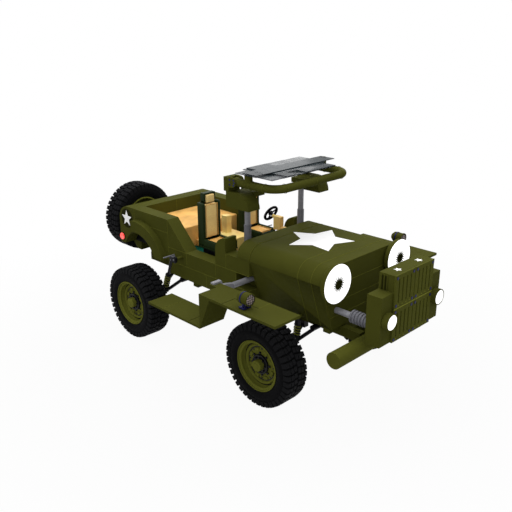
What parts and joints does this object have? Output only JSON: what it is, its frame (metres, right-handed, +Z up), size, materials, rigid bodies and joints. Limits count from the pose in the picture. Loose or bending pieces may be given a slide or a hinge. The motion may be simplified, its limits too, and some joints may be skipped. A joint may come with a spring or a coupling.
{
  "type": "light army 4x4 car with extended ram-driven panels",
  "caption": "Open army 4x4 car with its slatted grille, front wings and folded windscreen run out on telescopic rams.",
  "frame": {"origin": "middle of the bounding box in plan, on the ground under the tyres", "axes": "+Z up, the car faces -Y, its left side is +X"},
  "size_m": [2.924, 4.8204, 2.486],
  "materials": {
    "olive_paint": "satin",
    "olive_dark": "satin",
    "teal_floor": "matt",
    "beige_trim": "matt",
    "black_steel": "satin",
    "ram_steel": "ground",
    "ram_grey": "satin",
    "gaiter": "matt",
    "engine_iron": "rough",
    "tyre": "matt",
    "screen_pane": "polished",
    "seat_trim": "matt",
    "seat_frame": "matt",
    "lamp_white": "polished",
    "lamp_red": "polished",
    "wheel_black": "matt"
  },
  "bodies": {
    "body": {"side_wall_left": "olive_paint", "side_wall_right": "olive_paint", "rear_wall": "olive_paint", "cowl": "olive_paint", "engine_bay": "olive_paint", "bumper": "olive_dark", "spare_carrier": "olive_dark", "spare_rim": "olive_dark", "floor": "teal_floor", "rear_deck": "beige_trim", "console": "beige_trim", "dash": "beige_trim", "chassis": "black_steel", "hub_carriers": "black_steel", "suspension_arms": "black_steel", "coil_overs": "black_steel", "front_ram_rods": "ram_steel", "side_ram_tubes": "ram_grey", "post_barrels": "ram_grey", "engine": "engine_iron", "spare_tyre": "tyre", "seat_pads": "seat_trim", "seat_shells": "seat_frame", "headlamps": "lamp_white", "tail_lamps": "lamp_red"},
    "bonnet": {"bonnet": "olive_paint"},
    "wing_left": {"wing_left": "olive_paint", "side_ram_rod_left": "ram_steel", "fender_lamp_left": "olive_paint"},
    "wing_right": {"wing_right": "olive_paint", "side_ram_rod_right": "ram_steel", "fender_lamp_right": "olive_paint"},
    "grille": {"grille_block": "olive_paint", "grille_panels": "olive_dark", "marker_lamps": "lamp_white", "bellows": "gaiter"},
    "lift": {"post_rods": "ram_steel", "lift_head": "olive_paint"},
    "screen": {"screen_frame": "olive_paint", "screen_glass": "screen_pane"},
    "steering": {"steering_wheel": "wheel_black"},
    "knuckle_left": {"knuckle_left": "black_steel"},
    "knuckle_right": {"knuckle_right": "black_steel"},
    "wheel_front_left": {"tyre_front_left": "tyre", "rim_front_left": "olive_dark"},
    "wheel_front_right": {"tyre_front_right": "tyre", "rim_front_right": "olive_dark"},
    "wheel_rear_left": {"tyre_rear_left": "tyre", "rim_rear_left": "olive_dark"},
    "wheel_rear_right": {"tyre_rear_right": "tyre", "rim_rear_right": "olive_dark"}
  },
  "joints": [
    {"name": "steer_left", "type": "hinge", "parent": "body", "child": "knuckle_left", "pos_m": [0.745, -1.13025, 0.492], "axis": [0, 0, 1], "range_deg": [-30, 30]},
    {"name": "spin_front_left", "type": "hinge", "parent": "knuckle_left", "child": "wheel_front_left", "pos_m": [0.9435, -1.13025, 0.492], "axis": [1, 0, 0], "continuous": true},
    {"name": "spin_rear_left", "type": "hinge", "parent": "body", "child": "wheel_rear_left", "pos_m": [0.9435, 1.26975, 0.492], "axis": [1, 0, 0], "continuous": true},
    {"name": "steer_right", "type": "hinge", "parent": "body", "child": "knuckle_right", "pos_m": [-0.745, -1.13025, 0.492], "axis": [0, 0, 1], "range_deg": [-30, 30]},
    {"name": "spin_front_right", "type": "hinge", "parent": "knuckle_right", "child": "wheel_front_right", "pos_m": [-0.9435, -1.13025, 0.492], "axis": [1, 0, 0], "continuous": true},
    {"name": "spin_rear_right", "type": "hinge", "parent": "body", "child": "wheel_rear_right", "pos_m": [-0.9435, 1.26975, 0.492], "axis": [1, 0, 0], "continuous": true},
    {"name": "steering_turn", "type": "hinge", "parent": "body", "child": "steering", "pos_m": [0.364, 0.05175, 1.692], "axis": [0, 0.8829, 0.4695], "range_deg": [-450, 450]},
    {"name": "bonnet_open", "type": "hinge", "parent": "body", "child": "bonnet", "pos_m": [0, -0.63475, 1.662], "axis": [-1, 0, 0], "range_deg": [0, 36]},
    {"name": "screen_lower", "type": "slide", "parent": "body", "child": "lift", "axis": [0, 0, -1], "range_m": [0, 0.36]},
    {"name": "screen_fold", "type": "hinge", "parent": "lift", "child": "screen", "pos_m": [0, -0.35525, 2.348], "axis": [-1, 0, 0], "range_deg": [0, 90]},
    {"name": "grille_retract", "type": "slide", "parent": "body", "child": "grille", "axis": [0, 1, 0], "range_m": [0, 0.2]},
    {"name": "wing_left_retract", "type": "slide", "parent": "body", "child": "wing_left", "axis": [-1, 0, 0], "range_m": [0, 0.36]},
    {"name": "wing_right_retract", "type": "slide", "parent": "body", "child": "wing_right", "axis": [1, 0, 0], "range_m": [0, 0.36]}
  ],
  "couplings": [
    {"joint": "steer_left", "follows": "steering_turn", "ratio": 0.066667},
    {"joint": "steer_right", "follows": "steering_turn", "ratio": 0.066667}
  ]
}
